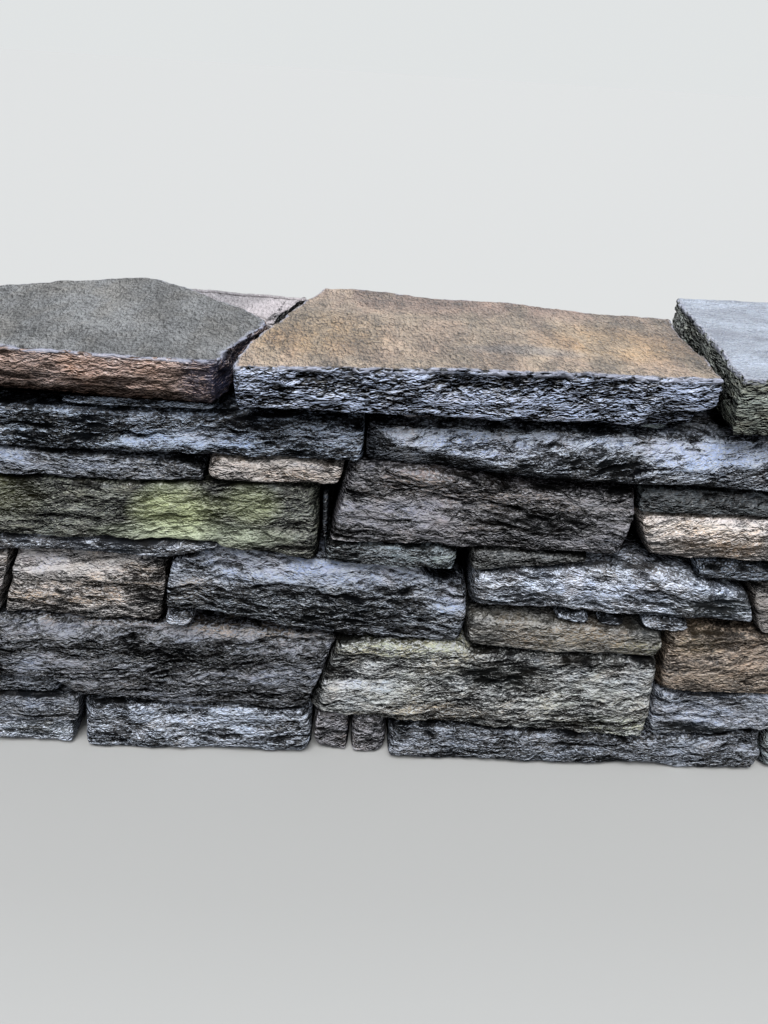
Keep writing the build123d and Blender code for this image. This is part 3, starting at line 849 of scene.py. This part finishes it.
def split_stone(
    name, tones, second=None, patches=(), arris=None, seed=0, drawn=(1.35, 0.62, 1.0), coat=0.5, coat_ior=1.5
):
    """A wet face split along its layers: pimpled like hammered metal, clouded, with small pits,
    and with painted light and shade on the pimples by how they turn to the light from behind.
    """
    nodes = Nodes(name)
    band, plus, times = nodes.band, nodes.plus, nodes.times

    def pattern(size, detail, rough, distortion, move=0.0):
        place = nodes.stretched(0.0, drawn, seed_shift * seed + move)
        return nodes.noise(place, size, detail, rough, distortion)

    pimples = pattern(150.0, 2.0, 0.5, 0.5)
    dents = pattern(48.0, 4.0, 0.6, 0.5)
    clouds = pattern(5.5, 6.0, 0.62, 0.6)
    hues = pattern(11.0, 5.0, 0.6, 0.5, move=3.0)
    normal = nodes.bump(plus(pimples, times(dents, 0.6)), 0.9, 0.0085)
    # Painted light and shade: each pimple is paler the more it turns to the light from behind.
    value = band(nodes.towards_sky(normal, (0.35, 0.78, 0.52)), 0.0, 1.0, 0.0, 0.50)
    for part, low, high, share in (
        (pimples, 0.30, 0.70, 0.12),
        (dents, 0.34, 0.66, 0.12),
        (clouds, 0.36, 0.64, 0.26),
    ):
        value = plus(value, band(part, low, high, 0.0, share))
    colour = nodes.ramp(value, tuple(zip(split_stops, tones)))
    if second:
        colour = nodes.mix(band(hues, 0.42, 0.60), colour, nodes.tinted(colour, second))
    for patch, centre, reach, strength in patches:
        patch_mask = times(nodes.near(centre, reach), band(hues, 0.36, 0.52, 0.4 * strength, strength))
        colour = nodes.mix(patch_mask, colour, nodes.tinted(colour, patch))
    # Painted highlight along the slabs' top edges, where the carving stored worn.
    if arris:
        worn = times(nodes.attribute("worn"), band(dents, 0.42, 0.56, 0.0, 0.9))
        colour = nodes.mix(worn, colour, arris)
    return nodes.surface({
        "Base Color": colour,
        "Roughness": band(pimples, 0.35, 0.65, 0.55, 0.35),
        "Coat Weight": coat,
        "Coat IOR": coat_ior,
        "Coat Roughness": 0.25,
        "Normal": normal,
        "Coat Normal": normal,
    })


def toned(*greys, tint, **facts):
    """What a material is made from: five tones from the darkest to the palest, each a grey
    level turned by the same tint, and any other facts."""
    tones = tuple(rgb(*(min(255, grey * part * darkened) for part in tint)) for grey in greys)
    return dict(tones=tones, **facts)


recipes = {
    "slate_blue": toned(22, 42, 74, 130, 250, tint=(0.96, 1.0, 1.075)),
    "black_blue": toned(18, 36, 62, 112, 240, tint=(0.93, 1.0, 1.11)),
    "brown_purple": toned(20, 38, 62, 110, 232, tint=(1.0, 0.99, 1.03), second=(1.0, 0.93, 0.90)),
    "brown_black": toned(17, 34, 60, 112, 238, tint=(0.97, 0.995, 1.06), second=(1.0, 0.95, 0.92)),
    "grey_slate": toned(34, 58, 92, 138, 214, tint=(0.965, 1.0, 1.07)),
    "brown_grey": toned(48, 68, 90, 126, 190, tint=(1.01, 1.0, 0.98), second=(1.0, 0.97, 0.88)),
    "olive": toned(26, 50, 84, 142, 240, tint=(0.99, 1.0, 1.0), second=(1.0, 0.98, 0.86)),
    "tan": toned(26, 50, 84, 142, 244, tint=(1.02, 0.99, 0.98), second=(1.0, 0.96, 0.91)),
    "cream": toned(52, 88, 126, 170, 230, tint=(1.03, 0.99, 0.97), second=(1.0, 0.95, 0.89)),
    "rusty": toned(44, 64, 84, 114, 200, tint=(1.10, 0.99, 0.89), second=(1.0, 0.91, 0.80)),
    "green_black": toned(20, 40, 62, 104, 214, tint=(0.94, 1.0, 1.05), second=(0.92, 1.0, 0.92)),
    "mossy": toned(
        22, 46, 74, 122, 220,
        tint=(0.99, 1.01, 0.92),
        patches=(
            (rgb(226, 238, 172), (-0.290, -0.22, 0.480), (0.085, 0.2, 0.060), 1.0),
            (rgb(206, 216, 160), (-0.170, -0.22, 0.500), (0.060, 0.2, 0.040), 0.7),
            (rgb(226, 238, 204), (-0.26, -0.22, 0.445), (0.18, 0.2, 0.026), 0.9),
            (rgb(112, 112, 52), (-0.62, -0.22, 0.50), (0.14, 0.2, 0.05), 0.7),
        ),
    ),
    "pale_pink": toned(36, 68, 106, 164, 250, tint=(1.03, 0.985, 0.96)),
}

# Each photographed stone, front_ and this name: its recipe, the dip, wave and roughness of its
# break, and how light it is. Then lighter, darker and tinted places on it: the kind, X and Z of
# the middle, and half the width and height.
# sky places are painted reflections of the sky, and tan places are a brown top ledge with painted light.
looks = {
    "foot_slate_lower": (
        "grey_slate", 0.0, 6, 0.9, 1.42, ("sky", -545, 80, 80, 20), ("dark", -560, 35, 55, 15),
    ),
    "foot_slate_upper": (
        "grey_slate", 0.0, 6, 1.0, 0.92, ("sky", -220, 80, 145, 20), ("dark", -410, 55, 45, 25),
        ("brown", -175, 35, 90, 15),
    ),
    "foot_long_stone": (
        "slate_blue", 0.02, 8, 1.0, 1.05, ("sky", 160, 45, 75, 20), ("sky", 570, 50, 130, 15),
        ("dark", 405, 35, 130, 20),
    ),
    "foot_packing": ("brown_purple", 0.0, 6, 0.9, 0.98),
    "foot_ledge_stone": ("slate_blue", 0.0, 5, 0.9, 0.87),
    "low_wedge": ("slate_blue", 0.02, 6, 0.9, 0.85),
    "dark_ledge_stone": (
        "brown_black", 0.05, 12, 1.2, 0.71, ("tan", -420, 274, 130, 14), ("tan", -180, 258, 120, 13),
        ("sky", -535, 175, 65, 20), ("sky", -325, 125, 80, 15), ("sky", -135, 180, 80, 15),
        ("dark", -400, 225, 105, 20), ("dark", -235, 210, 70, 20),
    ),
    "banded_long_stone": (
        "olive", 0.07, 12, 1.1, 1.0, ("olive", 90, 240, 115, 15), ("sky", 30, 145, 60, 35),
        ("dark", 280, 190, 65, 22), ("sky", 465, 185, 100, 25), ("pale", 335, 120, 70, 20),
        ("olive", 490, 95, 85, 20), ("brown", 175, 105, 90, 20),
    ),
    "blue_foot_stone": (
        "grey_slate", 0.0, 8, 1.0, 1.06, ("sky", 655, 125, 95, 20), ("dark", 640, 90, 75, 10),
    ),
    "rusty_stone": (
        "rusty", 0.05, 10, 0.8, 0.98, ("olive", 620, 270, 40, 20), ("pale", 665, 200, 90, 10),
    ),
    "pinnings": ("slate_blue", 0.0, 4, 0.6, 1.05),
    "brown_strip_stone": (
        "brown_grey", 0.0, 5, 0.8, 0.97, ("brown", 360, 275, 115, 20), ("olive", 525, 255, 45, 20),
    ),
    "big_slate": (
        "slate_blue", -0.12, 12, 1.1, 0.84, ("sky", -150, 385, 100, 24), ("sky", 20, 380, 95, 20),
        ("sky", 165, 335, 25, 25), ("dark", -85, 315, 195, 30), ("pale", 95, 285, 60, 10),
        ("brown", -260, 340, 30, 25),
    ),
    "tan_block": (
        "tan", -0.05, 8, 0.9, 0.99, ("sky", -530, 370, 45, 20), ("pale", -415, 365, 85, 15),
        ("brown", -495, 310, 95, 20), ("brown", -365, 340, 45, 25),
    ),
    "grey_band_stone": (
        "grey_slate", -0.14, 14, 1.1, 1.39, ("sky", 440, 375, 105, 20), ("dark", 640, 345, 70, 20),
    ),
    "peach_stone": ("pale_pink", 0.0, 5, 0.7, 0.73),
    "thin_slate": ("black_blue", 0.0, 4, 0.7, 0.76),
    "thin_slab": ("grey_slate", 0.0, 4, 0.6, 1.28),
    "mossy_stone": ("mossy", 0.02, 10, 1.0, 0.73),
    "upright_slate": ("black_blue", 0.0, 4, 0.5, 0.44),
    "dark_strip_stone": ("green_black", 0.0, 5, 0.8, 0.91),
    "olive_wedge": ("olive", -0.05, 4, 0.7, 0.66),
    "big_purple_stone": (
        "brown_purple", -0.14, 14, 1.1, 0.76, ("brown", 130, 548, 100, 20), ("sky", 70, 490, 90, 25),
        ("brown", 265, 530, 65, 20), ("dark", 290, 500, 100, 20), ("sky", 415, 460, 50, 15),
        ("pale", 400, 530, 60, 15),
    ),
    "cream_stone": (
        "cream", 0.10, 8, 0.8, 1.28, ("pale", 570, 495, 100, 10), ("brown", 615, 455, 75, 15),
    ),
    "tapered_slate": (
        "slate_blue", -0.04, 6, 0.8, 0.77, ("sky", -465, 560, 95, 10),
    ),
    "pink_stone": (
        "pale_pink", -0.05, 5, 0.7, 0.98, ("pale", -145, 575, 80, 10), ("brown", -90, 555, 50, 10),
    ),
    "dark_upper_stone": ("green_black", 0.0, 5, 0.9, 0.56),
    "long_black_stone": (
        "black_blue", 0.02, 9, 1.1, 0.94, ("sky", -225, 610, 110, 15), ("dark", -460, 615, 75, 25),
        ("sky", -45, 625, 45, 15),
    ),
    "black_flake": ("black_blue", 0.0, 4, 0.6, 1.0),
    "bulging_stone": (
        "slate_blue", 0.12, 10, 1.0, 0.95, ("pale", 175, 645, 125, 15), ("sky", 175, 615, 85, 15),
        ("sky", 530, 620, 95, 20), ("dark", 385, 605, 65, 15),
    ),
}
mixed_recipes = (
    "slate_blue", "black_blue", "brown_purple", "olive", "slate_blue", "tan", "green_black", "rusty",
)

made_materials = {}


def material_for(recipe, dip, seed, light=1.0, marks=()):
    key = (recipe, round(dip, 2), seed % 3, light, tuple(marks))
    if key not in made_materials:
        facts = dict(recipes[recipe], marks=marks)
        facts["tones"] = tuple(tuple(part * light**2.2 for part in tone) for tone in facts["tones"])
        made_materials[key] = schist(f"{recipe}_{len(made_materials)}", dip=dip, seed=seed, **facts)
    return made_materials[key]


def seed_of(name):
    return sum(ord(letter) * (k + 1) for k, letter in enumerate(name)) % 997


slot_of = {part["node"]: part["material_slot"] for part in frame["record"]["subparts"]}


def declare(stone, node):
    """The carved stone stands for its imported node."""
    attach(stone, "root")
    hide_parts(node.name)


# The stones of the photographed face
for stone, (recipe, dip, wave, rough, light, *marks) in looks.items():
    name = f"front_{stone}"
    node = frame["nodes"][name]
    carving = Carving()
    soft = soft_pinning if stone == "pinnings" else soft_corner
    for k, solid in enumerate(solids_of(node)):
        look = Look(seed_of(name) + 5 * k, dip, wave, rough, soft, blunt=stone != "upright_slate")
        carve_face_stone(carving, solid, -1, front_cells, look, stone == "bulging_stone")
    carved = carving.finish(f"{name}_carved")
    carved.data.materials.append(material_for(recipe, dip, seed_of(name), light, marks))
    declare(carved, node)


def mixed(name, carve):
    """A node of several stones in one piece, with a recipe for each stone in turn."""
    node = frame["nodes"][name]
    carving = Carving()
    solids = solids_of(node)
    chosen = [mixed_recipes[(seed_of(name) + k) % len(mixed_recipes)] for k in range(len(solids))]
    used = sorted(set(chosen))
    for k, solid in enumerate(solids):
        seed = seed_of(name) + 7 * k
        carving.kind = used.index(chosen[k])
        carve(carving, solid, Look(seed, 0.06 * ((seed % 5) - 2) / 2, 6 + seed % 6, 1.0))
    carved = carving.finish(f"{name}_carved")
    for recipe in used:
        carved.data.materials.append(material_for(recipe, 0.0, 0))
    declare(carved, node)


def front_stone(carving, solid, look):
    carve_face_stone(carving, solid, -1, front_cells, look)


def back_stone(carving, solid, look):
    carve_face_stone(carving, solid, 1, back_cells, look)


def pinning_stone(carving, solid, look):
    side = -1 if corners_of(solid)[:, 1].mean() < 0 else 1
    carve_face_stone(carving, solid, side, pinning_cells, look)


for name in ("front_left_bay", "front_right_bay"):
    mixed(name, front_stone)
for course in ("foot", "second", "third", "fourth", "fifth"):
    mixed(f"back_{course}_course", back_stone)
mixed("left_end_ties", lambda carving, solid, look: carve_tie(carving, solid, -1, look))
mixed("right_end_ties", lambda carving, solid, look: carve_tie(carving, solid, 1, look))
mixed("coping_pinnings", pinning_stone)

# The coping: by material, the split top and the broken sides, and for each slab its edges
edge_highlight = rgb(196, 200, 220)  # painted highlight along the slabs' top edges, pale lavender like the sky
top_stone = {
    "coping_grey": toned(52, 94, 121, 145, 184, tint=(0.99, 1.0, 1.01), second=(0.96, 0.90, 0.82)),
    "coping_ochre": toned(
        74, 124, 156, 188, 234,
        tint=(1.12, 0.99, 0.85),
        second=(0.97, 0.91, 0.92),
        patches=(
            ((0.86, 0.78, 0.84), (0.20, 0.17, 0.75), (0.62, 0.13, 0.2), 0.9),
            ((0.78, 0.90, 1.10), (0.27, -0.12, 0.75), (0.14, 0.03, 0.2), 0.9),
            ((1.10, 0.97, 0.72), (-0.10, -0.08, 0.75), (0.16, 0.14, 0.2), 1.0),
            ((1.10, 0.97, 0.74), (0.42, -0.06, 0.75), (0.16, 0.12, 0.2), 1.0),
        ),
    ),
    "coping_blue": toned(
        90, 180, 262, 272, 280,
        tint=(0.91, 0.968, 1.15),
        drawn=(1.0, 2.4, 1.0),
        coat=1.0,
        coat_ior=2.3,
    ),
}
side_facts = dict(drawn=2.5, cloudy=0.45, scale=56.0)
side_stone = {
    "coping_grey": toned(
        68, 100, 132, 166, 210,
        tint=(1.15, 0.97, 0.89),
        second=(1.0, 0.88, 0.80),
        # blue_shade paints shade on the left slab's end face, in the gap to the middle slab.
        marks=(("blue_shade", -232, 705, 28, 80), ("blue_shade", -185, 705, 30, 80)),
    ),
    "coping_ochre": toned(4, 9, 34, 112, 246, tint=(0.94, 1.0, 1.14), cloudy=0.7, scale=48.0),
    "coping_blue": toned(
        8, 42, 108, 170, 232,
        tint=(0.98, 1.02, 0.94),
        # A near-black patch paints shade on the right slab's left side.
        patches=((rgb(20, 18, 20), (0.57, 0.02, 0.70), (0.09, 0.50, 0.3), 1.0),),
    ),
}
slab_edges = {
    "coping_far_left_slab": dict(lip=(-6.0, -6.0)),
    "coping_left_slab": dict(lip=(-14.0, -14.0), square=0.4, round_back=38.0),
    "coping_middle_slab": dict(lip=(-6.0, 12.0), square=0.25, stretch=8.0, broken_from=430.0),
    "coping_right_slab": dict(lip=(4.0, 4.0)),
}

for name, edges in slab_edges.items():
    node = frame["nodes"][name]
    slot = slot_of[name]
    seed = seed_of(name) % 50
    carving = Carving()
    look = Look(seed_of(name), 0.0, 5, 1.0)
    carve_slab(carving, solids_of(node)[0], look, slab_cells, **edges)
    slab = carving.finish(f"{name}_carved")
    facts = {**side_facts, **side_stone[slot]}
    slab.data.materials.append(schist(f"{name}_side", seed=seed, arris=edge_highlight, **facts))
    slab.data.materials.append(split_stone(f"{name}_top", seed=seed, arris=edge_highlight, **top_stone[slot]))
    declare(slab, node)

node = frame["nodes"]["coping_rear_fillers"]
carving = Carving()
for k, solid in enumerate(solids_of(node)):
    carve_slab(carving, solid, Look(seed_of("fillers") + k, 0.0, 5, 0.9), filler_cells, smaller=filler_worn)
fillers = carving.finish("coping_rear_fillers_carved")
fillers.data.materials.append(material_for("pale_pink", 0.0, 2))
weathered = (((0.60, 0.62, 0.64), (-0.33, 0.17, 0.74), (0.17, 0.13, 0.2), 1.0),)
filler_top = toned(174, 208, 230, 246, 264, tint=(1.03, 0.978, 0.995), patches=weathered)
fillers.data.materials.append(split_stone("filler_top", **filler_top))
declare(fillers, node)

core = frame["nodes"]["core"]
core.data.materials.clear()
core.data.materials.append(material_for("green_black", 0.0, 2))

# Floor, light and camera
floor_half = 30.0
floor_level = -0.001
floor_colour = (0.578, 0.578, 0.568)
sky_colour = (0.92, 0.96, 1.0, 1)
backdrop_colour = (0.749, 0.771, 0.775, 1)

turns = ((-1, -1), (1, -1), (1, 1), (-1, 1))
mesh = bpy.data.meshes.new("floor")
mesh.from_pydata([(x * floor_half, y * floor_half, floor_level) for x, y in turns], [], [(0, 1, 2, 3)])
floor = placed("floor", mesh)
floor.data.materials.append(Nodes("floor_paper").surface({"Base Color": floor_colour, "Roughness": 0.9}))


def sun(name, towards, strength, angle, tint=(1, 1, 1)):
    data = bpy.data.lights.new(name, "SUN")
    data.energy = strength
    data.angle = np.radians(angle)
    data.color = tint
    placed(name, data).rotation_euler = Vector(towards).to_track_quat("-Z", "Y").to_euler()


sun("sky_above", (0.12, 0.45, -0.95), 2.1, 34)
sun("sky_behind", (-0.1, -0.7, -0.75), 1.0, 40, (0.94, 0.97, 1.0))

world = bpy.data.worlds.new("sky")
bpy.context.scene.world = world
world.use_nodes = True
tree = world.node_tree
lighting = tree.nodes["Background"]
lighting.inputs["Color"].default_value = sky_colour
lighting.inputs["Strength"].default_value = 0.5
seen = tree.nodes.new("ShaderNodeBackground")
seen.inputs["Color"].default_value = backdrop_colour
path = tree.nodes.new("ShaderNodeLightPath")
either = tree.nodes.new("ShaderNodeMixShader")
tree.links.new(path.outputs["Is Camera Ray"], either.inputs[0])
tree.links.new(lighting.outputs[0], either.inputs[1])
tree.links.new(seen.outputs[0], either.inputs[2])
tree.links.new(either.outputs[0], tree.nodes["World Output"].inputs["Surface"])

# The camera stands close and looks down by 30 degrees, a little turned
yaw, pitch, roll = np.radians((-2.34, 30.0, 3.77))
forward = Vector((-np.sin(yaw) * np.cos(pitch), np.cos(yaw) * np.cos(pitch), -np.sin(pitch)))
level = Vector((np.cos(yaw), np.sin(yaw), 0))
upright = level.cross(forward)
right = np.cos(roll) * level + np.sin(roll) * upright
up = -np.sin(roll) * level + np.cos(roll) * upright
camera_data = bpy.data.cameras.new("camera")
camera_data.sensor_width = 36
camera_data.lens = 29.14
camera_data.clip_end = 100
camera = placed("camera", camera_data)
camera.matrix_world = Matrix((right, up, -forward)).transposed().to_4x4()
camera.location = (0, -1.386, 1.174)
bpy.context.scene.camera = camera
bpy.context.scene.view_settings.view_transform = "Standard"
